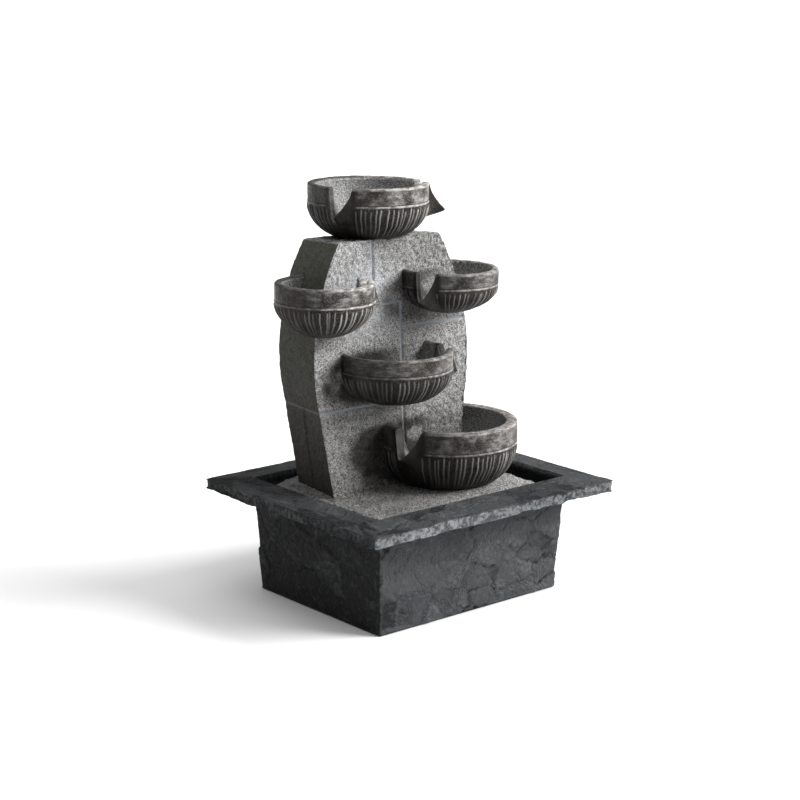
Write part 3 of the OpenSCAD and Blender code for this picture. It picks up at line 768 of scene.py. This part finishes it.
DECK_T = 8 * MM
LEG_R = 7 * MM
LEG_SPOTS = np.array([[-98, -70], [72, -70], [-92, 44], [46, 46]]) * MM
HATCH = np.array([80, 40]) * MM
DECK_POINTS = 720
DECK_HUB = np.array([TOWER_X, 34 * MM])
BOTTOM_R = 66.5 * MM
BOTTOM_FOOT = 40 * MM


def deck_outline():
    left, front = DECK_LO[:2]
    right, back = DECK_HI[:2]
    steps = np.array([[0, 0, 0, 0], [1, -3, 0, 0], [1, 0, 0, 59], [1, -14, 0, 123], [1, -30, 1, 0],
                      [0, 36, 1, 0], [0, 0, 1, -6]])
    xs = np.where(steps[:, 0] == 1, right, left) + steps[:, 1] * MM
    ys = np.where(steps[:, 2] == 1, back, front) + steps[:, 3] * MM
    return np.column_stack([xs, ys])


def ray_hits(outline, hub, angles):
    """How far rays from hub run before they leave a convex outline."""
    reach = np.full(angles.shape, 9.0)
    heading = np.stack([np.cos(angles), np.sin(angles)], -1)
    for start, end in zip(outline, np.roll(outline, -1, axis=0)):
        along = end - start
        across = heading[:, 0] * along[1] - heading[:, 1] * along[0]
        gap = start - hub
        far = (gap[0] * along[1] - gap[1] * along[0]) / np.where(np.abs(across) < 1e-9, 1e-9, across)
        reach = np.where((far > 0) & (far < reach), far, reach)
    return reach, heading


def deck_rows(top, under):
    """Loops from the hatch over the plate, down its edge and back below, their zone and the open edge."""
    angles = np.linspace(-math.pi, math.pi, DECK_POINTS, endpoint=False)
    hatch = DECK_HUB + HATCH / 2 * np.array([[-1, -1], [1, -1], [1, 1], [-1, 1]])
    out_reach, heading = ray_hits(deck_outline(), DECK_HUB, angles)
    in_reach, _ = ray_hits(hatch, DECK_HUB, angles)
    edge = DECK_HUB + heading * out_reach[:, None]
    open_edge = np.maximum(smooth(60 * MM, 74 * MM, edge[:, 0]), smooth(56 * MM, 68 * MM, edge[:, 1]))
    broken = fractal(edge, 9 * MM, 3, 81)
    out_reach = out_reach - open_edge * (1.6 * MM + 1.8 * MM * broken)
    plan = [(share, top, 1) for share in np.linspace(0.0, 0.975, 78)]
    for share, drop in ((0.987, 0.15), (0.996, 0.9), (1.0, 2.2), (1.0, 4.0), (0.998, 6.0)):
        plan.append((share, top - drop * MM, 0.5))
    plan += [(share, under, 0) for share in (0.99, 0.7, 0.35, 0.0)]
    rows = []
    for share, z, _ in plan:
        reach = in_reach + (out_reach - in_reach) * share
        rows.append(raised(DECK_HUB + heading * reach[:, None], z))
    return np.stack(rows), np.array([zone for _, _, zone in plan])[:, None], open_edge


def deck_mounds(rows):
    """Where the deck rises to the tower's foot and to the bottom bowl's foot, from 0 to 1."""
    x_off = np.abs(rows[..., 0] - TOWER_X) - FOOT_W
    y_off = np.maximum(TOWER_LO[1] - rows[..., 1], 0)
    by_tower = 1 - smooth(0, 9 * MM, np.hypot(np.maximum(x_off, 0), y_off))
    low, high = (np.array(corner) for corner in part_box("bowl_bottom"))
    middle = np.array([high[0], low[1]]) + BOTTOM_R * np.array([-1, 1])
    away = np.linalg.norm(rows[..., :2] - middle, axis=-1)
    return by_tower, 1 - smooth(BOTTOM_FOOT, BOTTOM_FOOT + 13 * MM, away)


def build_deck():
    top, under = DECK_HI[2], DECK_HI[2] - DECK_T
    rows, zone, open_edge = deck_rows(top, under)
    normals = loop_normals(rows)
    relief = hammered(rows, 2.4 * MM, 91, 3.6 * MM, 95)
    swell = fractal(rows, 30 * MM, 3, 101)
    ragged = fractal(rows * np.array([1, 1, 1.6]), 6 * MM, 3, 111)
    lip = np.broadcast_to(open_edge, rows.shape[:2]) * (zone == 0.5)
    push = zone * BUMP * 0.85 * relief + zone * 0.5 * MM * swell + lip * 1.1 * MM * (ragged - 0.4)
    moved = rows + normals * (push - 0.3 * MM * (zone > 0))[..., None]
    by_tower, by_bowl = deck_mounds(rows)
    moved[..., 2] += np.maximum(by_tower * 1.8 * MM, by_bowl * 3 * MM) * (zone == 1)
    # Painted shade: darker to the left, where the tower's shadow falls, a ring round the feet of the tower
    # and the bottom bowl, and darker on the edge and underside; the swell adds random staining.
    shaded = np.maximum(by_bowl, by_tower)
    stain = 0.58 - 0.45 * smooth(-80 * MM, 70 * MM, rows[..., 0]) + 0.25 * smooth(-0.1, 0.8, swell)
    stain = stain + 0.4 * shaded * (1 - shaded) + 0.35 * (zone < 1)
    marks = granite_marks(relief, side=0.25 * (zone < 1), stain=stain)
    piece = loops_to_mesh("deck_casting", moved, marks, close_ends=False, join_ends=True)
    legs = [build_leg(index, spot, under) for index, spot in enumerate(LEG_SPOTS)]
    bpy.ops.object.select_all(action="DESELECT")
    for part in legs + [piece]:
        part.select_set(True)
    bpy.context.view_layer.objects.active = piece
    bpy.ops.object.join()
    stand_for(piece, "deck_plate", LIFTED, GRANITE)


def build_leg(index, spot, under):
    """A cast leg with a fillet under the deck and a rounded foot."""
    turn = np.linspace(0, 2 * math.pi, 40, endpoint=False)
    foot = DECK_LO[2]
    tall = (under - foot) / MM
    profile = [(0.3, 0), (0.86, 0), (0.96, 0.7), (1.0, 2.2)]
    profile += [(1.0, z) for z in np.linspace(8, tall - 6, 12)]
    profile += [(1.0 + 0.35 * share ** 2, tall - 6 + 7 * share) for share in np.linspace(0.2, 1, 5)]
    profile += [(0.3, tall + 1)]
    rows = []
    for r, z in profile:
        round_leg = [spot[0] + r * LEG_R * np.cos(turn), spot[1] + r * LEG_R * np.sin(turn)]
        rows.append(raised(np.column_stack(round_leg), foot + z * MM))
    rows = np.stack(rows)
    rough = fractal(rows, 4 * MM, 2, 121 + index)
    rows[..., :2] += (rows[..., :2] - spot) * 0.03 * rough[..., None]
    # The legs under the deck are darkened with the side copy and the staining colour: painted shade.
    return loops_to_mesh("leg", rows, granite_marks(rough, side=0.3, stain=0.2))


# ---------- bowls ----------

LIP = 6.5 * MM
FLOOR = 8 * MM
BAND = 0.32                  # share of the depth taken by the plain band
FULLNESS = 1.4               # how slowly the side swells out above the foot
NOTCH_SHARE = 0.4            # notch width as a share of the bowl's radius
NOTCH_DEEP = 25 * MM
BEAD = 0.6 * MM
RIDGE_PITCH = 5.1 * MM
RIDGE_W = 1.2 * MM
RIDGE_H = 0.8 * MM
KEY_LIT_SIDE = -40            # direction, in degrees, of the side towards the key light, where the rubbed paint shows most: painted highlight
BOWL_POINTS = 720


def bowl_profile(r, depth, foot_r, lip):
    """Radius, height and zone from the middle of the floor up the inside, over the lip and down."""
    points = []
    for turn in np.linspace(4, 88, 26):
        swing = math.radians(turn)
        points.append(((r - lip) * math.sin(swing), -(depth - FLOOR) * math.cos(swing), "inside"))
    for swing in np.radians(np.linspace(180, 0, 11)):
        rise = 1.6 * MM * math.sin(swing)
        points.append((r - lip / 2 + lip / 2 * math.cos(swing), -1.6 * MM + rise, "lip"))
    band = depth * BAND
    for z in np.linspace(-2.6 * MM, -band, 12)[:-1]:
        points.append((r, z, "band"))
    for offset, out in ((-1.0, 0.0), (-0.5, 0.7), (0.0, 1.0), (0.5, 0.7), (1.0, 0.0)):
        points.append((r + BEAD * out - 0.2 * MM, -band - 1.2 * MM * offset - 1.2 * MM, "bead"))
    for turn in np.linspace(86, 3, 34):
        swing = math.radians(turn)
        points.append((foot_r + (r - foot_r) * math.sin(swing) ** FULLNESS,
                       -depth + (depth - band - 2 * MM) * (1 - math.cos(swing)), "side"))
    for share in (0.98, 0.6, 0.1):
        points.append((foot_r * share, -depth, "foot"))
    return points


def spout_fields(turn, spouts):
    """Round the rim: notch depth, beak reach, and how near a spout, where ridges stop, where flanks are."""
    notch, beak, near_spout, plain, flanks = np.zeros((5,) + turn.shape)
    for direction, reach, deep in spouts:
        away = (turn - math.radians(direction) + math.pi) % (2 * math.pi) - math.pi
        across = np.abs(np.sin(away)) * 2 / NOTCH_SHARE
        across = np.where(np.cos(away) > 0, across, 9)
        notch = np.maximum(notch, deep * np.clip(1.02 - across, 0, 1) ** 0.68)
        beak = np.maximum(beak, reach * np.clip(1.12 - across * 0.95, 0, 1) ** 1.3)
        near_spout = np.maximum(near_spout, 1 - smooth(1.15, 1.6, across))
        plain = np.maximum(plain, 1 - smooth(0.85, 1.2, across))
        flanks = np.maximum(flanks, smooth(0.3, 0.55, across) * (1 - smooth(1.2, 1.5, across)))
    return notch, beak, near_spout, plain, flanks


def cut_spouts(radius, height, inside, notch, beak, flare_end):
    """Lowers the rim into the notches and swells the wall out into beaks above flare_end."""
    reach = NOTCH_DEEP + 12 * MM
    share = np.clip(-height / reach, 0, 1)
    lowered = np.where(-height < reach, -notch - share * (reach - notch), height)
    flare = np.clip((lowered - flare_end) / np.maximum(-notch - flare_end, 1e-6), 0, 1)
    return radius + np.where(inside, flare ** 2.4, flare ** 0.9) * beak, lowered


def flutes(turn, r, pushed, lowered, depth, seed):
    """Narrow ridges, each a little different: their height, how rubbed each is and where they show."""
    count = round(2 * math.pi * r / RIDGE_PITCH)
    phase = turn / (2 * math.pi) * count
    which = np.floor(phase)
    jitter = lattice_value(which[:, None], seed) - 0.5
    bent = np.stack([pushed / MM, lowered / MM, 40 * turn + 0 * lowered], -1)
    wander = 0.16 * fractal(bent, 9, 2, seed + 3)
    off = (phase - which - 0.5 - 0.7 * jitter + wander) * RIDGE_PITCH
    ridge = 1 - smooth(RIDGE_W * 0.3, RIDGE_W * 0.8, np.abs(off))
    start = lattice_value(which[:, None] + 71, seed + 1)
    rubbed = 0.35 + 0.65 * lattice_value(which[:, None] + 37, seed + 2)
    band_z = -depth * BAND - 2.4 * MM
    fade_in = smooth(0, 1.5 * MM, band_z - start * 3 * MM - lowered)
    return ridge, rubbed, fade_in * smooth(0.04, 0.22, (lowered + depth) / depth)


def build_bowl(node, centre, r, depth, foot_r, spouts, seed, cutter=None, lip=LIP, skirt=0.0,
               soaked=0.75, rubbed=1.0):
    """spouts are (direction in degrees, how far the beak stands out, depth of the notch).
    The flank shade argument is how much painted shade darkens the flanks of the notches and the wall near
    the spouts; rubbed is how much paint is worn off, shown most towards the key light as a painted
    highlight.
    """
    turn = np.linspace(0, 2 * math.pi, BOWL_POINTS, endpoint=False)
    profile = bowl_profile(r, depth, foot_r, lip)
    radius = np.array([p[0] for p in profile])[:, None] + 0 * turn
    height = np.array([p[1] for p in profile])[:, None] + 0 * turn
    zones = np.array([p[2] for p in profile])[:, None]
    notch, beak, near_spout, plain, flanks = spout_fields(turn, spouts)
    flare_end = -(max(deep for _, _, deep in spouts) + 6 * MM)
    pushed, lowered = cut_spouts(radius, height, zones == "inside", notch, beak, flare_end)
    ridge, ridge_rub, shown = flutes(turn, r, pushed, lowered, depth, seed)
    on_side = (zones == "side") * shown * (1 - 0.9 * plain)
    pushed = pushed + on_side * (RIDGE_H * ridge - 0.35 * MM * (1 - ridge))
    pushed = pushed - (zones == "bead") * near_spout * np.maximum(radius - r, 0)
    points = np.stack([centre[0] + pushed * np.cos(turn), centre[1] + pushed * np.sin(turn),
                       centre[2] + lowered], -1)
    if skirt:
        points[-3:, :, 2] -= skirt
    normals = loop_normals(points)
    fine = fractal(points, 2.6 * MM, 2, seed + 5)
    lumps = fractal(points, 12 * MM, 3, seed + 9)
    push = 0.22 * MM * fine + 0.35 * MM * lumps
    points = points + normals * (push * np.where(zones == "foot", 0, 1))[..., None]
    bead_top = np.abs(radius - r - BEAD + 0.2 * MM) < 0.3 * MM
    # Painted highlight: wear, ridges and flecks are shown most on the side towards the key light.
    lit = 0.22 + 0.78 * rubbed * smooth(-0.6, 0.75, np.cos(turn - math.radians(KEY_LIT_SIDE)))
    # Painted light: flecks and ridges lighter on the top part of the bowl, the lower part left dark.
    upper = smooth(-0.95, -0.35, lowered / depth)
    # Painted shade near the spouts and on the flanks of the notches.
    dark_spouts = near_spout * (soaked > 0)
    worn = (zones == "lip") * 0.55 * (1 - 1.2 * soaked * flanks)
    worn = worn + (zones == "bead") * bead_top * 0.8 * (1 - near_spout) * (0.8 + 0.2 * lumps)
    worn = worn + (zones == "band") * (1 - dark_spouts) * 0.42 * smooth(-0.4, 0.4, lumps)
    outside = np.isin(zones, ("band", "bead", "side"))
    ridges = on_side * ridge * ridge_rub * (0.45 + 0.55 * upper) * lit * 0.66
    flecked = (0.2 + 0.8 * upper) * lit * (1 - 0.6 * dark_spouts * outside) * (1 - soaked * flanks)
    marks = {"worn": np.clip(worn * lit, 0, 1), "ridges": np.clip(ridges, 0, 1),
             "inside": (zones == "inside") * (1 - soaked * flanks), "upper": flecked}
    piece = loops_to_mesh(node.replace("bowl_", "bowl_casting_"), points, marks)
    if cutter:
        cut_away(piece, cutter)
    stand_for(piece, node, LIFTED, BOWL)


def tower_cutter():
    """The inside of the tower, a little smaller than its face, for trimming what is built into it."""
    heights = np.linspace(TOWER_LO[2] - 5 * MM, TOWER_HI[2] - TOP_FALL - 2.5 * MM, 40)
    loops = [raised(tower_loop(z, 2.5 * MM, [6, 4, 6, 4], 3, 2 * MM), z) for z in heights]
    return loops_to_mesh("tower_inside", np.stack(loops), {})


def cut_away(piece, cutter):
    cut = piece.modifiers.new("cut", "BOOLEAN")
    cut.operation = "DIFFERENCE"
    cut.solver = "MANIFOLD"
    cut.object = cutter
    bpy.context.view_layer.update()
    shaped = bpy.data.meshes.new_from_object(piece.evaluated_get(bpy.context.evaluated_depsgraph_get()))
    piece.modifiers.clear()
    piece.data = shaped


def build_bowls():
    """Each hung bowl's centre comes from the two sides of its CAD box that its round wall touches."""
    cutter = tower_cutter()

    def hang(node, r, depth, foot_r, spout, seed, touches_left, **finish):
        low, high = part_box(node)
        x = low.x + r if touches_left else high.x - r
        build_bowl(node, (x, low.y + r, high.z), r, depth, foot_r, [spout], seed, cutter, **finish)

    low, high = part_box("bowl_top")
    r = (high.y - low.y) / 2
    spouts = [(203, 13 * MM, NOTCH_DEEP), (-20, 21 * MM, 29 * MM)]
    build_bowl("bowl_top", (TOWER_X, low.y + r, high.z), r, high.z - TOWER_HI[2], 31 * MM, spouts, 200,
               skirt=TOP_FALL, soaked=0.1, rubbed=1.6)
    hang("bowl_left", 45 * MM, 50 * MM, 8 * MM, (-14, 12 * MM, NOTCH_DEEP), 300, True,
         soaked=0.0, rubbed=1.9)
    hang("bowl_right", 47.5 * MM, 42.5 * MM, 8 * MM, (202.5, 13 * MM, NOTCH_DEEP), 400, False)
    hang("bowl_middle", 54.5 * MM, 47 * MM, 25 * MM, (-20, 9 * MM, NOTCH_DEEP), 500, True, rubbed=0.85)
    bottom_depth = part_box("bowl_bottom")[1].z - DECK_HI[2]
    hang("bowl_bottom", BOTTOM_R, bottom_depth, BOTTOM_FOOT, (195, 13 * MM, NOTCH_DEEP), 600, False,
         lip=10.5 * MM, rubbed=1.15)
    bpy.data.objects.remove(cutter)


# ---------- kept CAD nodes ----------

def dress_kept_nodes():
    slots = {row["node"]: row["material_slot"] for row in frame["record"]["subparts"]}
    for name, piece in frame["nodes"].items():
        if slots[name] in KEPT_LOOKS:
            set_material(piece, KEPT_LOOKS[slots[name]])


# ---------- stage, light and camera ----------

CAMERA_AT = Vector((-1.1612, -1.3108, 0.5963))
CAMERA_AIM = Vector((-0.0069, 0.0075, 0.1846))
CAMERA_ROLL = math.radians(0.68)
LENS = 86.2
SENSOR = 36.0


def add_camera():
    forward = (CAMERA_AIM - CAMERA_AT).normalized()
    right = forward.cross(Vector((0, 0, 1))).normalized()
    up = right.cross(forward)
    rolled = right * math.cos(CAMERA_ROLL) + up * math.sin(CAMERA_ROLL)
    over = rolled.cross(forward)
    data = bpy.data.cameras.new("camera")
    data.lens, data.sensor_width = LENS, SENSOR
    camera = bpy.data.objects.new("camera", data)
    turned = Matrix((rolled, over, -forward)).transposed().to_4x4()
    camera.matrix_world = Matrix.Translation(CAMERA_AT) @ turned
    bpy.context.scene.collection.objects.link(camera)
    bpy.context.scene.camera = camera


def add_stage():
    look = Look("floor")
    tint = look.blend(look.noise(0.4, 2), (0.66, 0.66, 0.66), (0.68, 0.68, 0.68))
    paper = look.finish(tint, 0.9)
    mesh = bpy.data.meshes.new("floor")
    reach = 30.0
    mesh.from_pydata([(-reach, -reach, 0), (reach, -reach, 0), (reach, reach, 0), (-reach, reach, 0)], [],
                     [(0, 1, 2, 3)])
    floor = bpy.data.objects.new("floor", mesh)
    bpy.context.scene.collection.objects.link(floor)
    set_material(floor, paper)
    add_world()
    add_sun("key", azimuth=-42, elevation=33, spread=36, strength=6.6)
    bpy.context.scene.view_settings.view_transform = "Standard"


def add_world():
    """A soft white ceiling over a dim room, and a white backdrop just above the floor's far edge."""
    world = bpy.data.worlds.new("studio")
    world.use_nodes = True
    tree = world.node_tree
    split = tree.nodes.new("ShaderNodeSeparateXYZ")
    tree.links.new(tree.nodes.new("ShaderNodeTexCoord").outputs["Generated"], split.inputs["Vector"])

    def zone(low, high, at_low, at_high):
        ramp = tree.nodes.new("ShaderNodeMapRange")
        ramp.interpolation_type = "SMOOTHSTEP"
        tree.links.new(split.outputs["Z"], ramp.inputs["Value"])
        limits = {"From Min": low, "From Max": high, "To Min": at_low, "To Max": at_high}
        for socket, value in limits.items():
            ramp.inputs[socket].default_value = value
        return ramp.outputs["Result"]

    both = tree.nodes.new("ShaderNodeMath")
    both.operation = "MAXIMUM"
    tree.links.new(zone(0.5, 0.85, 0.05, 2.0), both.inputs[0])
    tree.links.new(zone(0.08, 0.16, 1.0, 0.05), both.inputs[1])
    sky = tree.nodes["Background"]
    sky.inputs["Color"].default_value = (1, 1, 1, 1)
    tree.links.new(both.outputs["Value"], sky.inputs["Strength"])
    bpy.context.scene.world = world


def add_sun(name, azimuth, elevation, spread, strength):
    """A soft lamp from that direction, in degrees, as wide as spread."""
    data = bpy.data.lights.new(name, "SUN")
    data.angle, data.energy = math.radians(spread), strength
    light = bpy.data.objects.new(name, data)
    turn, rise = math.radians(azimuth), math.radians(elevation)
    heading = Vector((math.cos(turn) * math.cos(rise), math.sin(turn) * math.cos(rise), math.sin(rise)))
    light.rotation_euler = heading.to_track_quat("Z", "Y").to_euler()
    bpy.context.scene.collection.objects.link(light)


add_camera()
build_basin()
build_tower()
build_deck()
build_bowls()
dress_kept_nodes()
add_stage()
